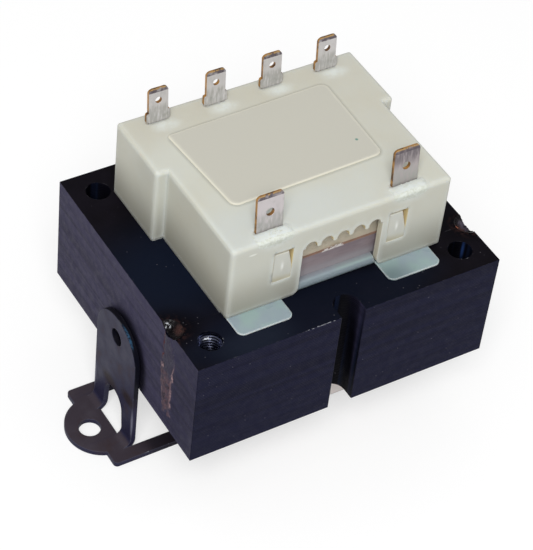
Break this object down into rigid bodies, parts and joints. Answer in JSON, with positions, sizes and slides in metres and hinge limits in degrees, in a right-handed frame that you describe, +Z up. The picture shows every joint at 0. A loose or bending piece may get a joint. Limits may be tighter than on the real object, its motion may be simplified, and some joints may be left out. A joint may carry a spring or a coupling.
{
  "type": "strap mounted control transformer",
  "caption": "Small low-voltage control transformer: welded laminated core, moulded terminal cover with push-on blades, and a lanced steel strap with two feet.",
  "frame": {"origin": "underside of the mounting strap, under the middle of the core", "axes": "+X along the strap to the right foot, -Y to the front with the two wide blades, +Z up"},
  "size_m": [0.1016, 0.0636, 0.0773],
  "materials": {
    "core_steel": "dark blue-black oxide and varnish, satin",
    "weld_steel": "bare weld with rust",
    "bobbin_plastic": "translucent bluish-white moulding",
    "copper_wire": "enamelled copper wire",
    "coil_tape": "mauve polyester tape",
    "cover_plastic": "cream moulding, satin",
    "blade_metal": "tinned brass strip with bare edges",
    "strap_steel": "dark brown-black oxide on sheet steel"
  },
  "bodies": {
    "root": {"e_core": "core_steel", "i_core": "core_steel", "left_weld": "weld_steel", "right_weld": "weld_steel", "bobbin": "bobbin_plastic", "primary_winding": "copper_wire", "secondary_winding": "copper_wire", "primary_tape": "coil_tape", "secondary_tape": "coil_tape", "front_strip": "coil_tape", "terminal_cover": "cover_plastic", "left_latch": "cover_plastic", "right_latch": "cover_plastic", "rear_blade_1": "blade_metal", "rear_blade_2": "blade_metal", "rear_blade_3": "blade_metal", "rear_blade_4": "blade_metal", "front_blade_left": "blade_metal", "front_blade_right": "blade_metal", "mounting_strap": "strap_steel"}
  },
  "joints": []
}
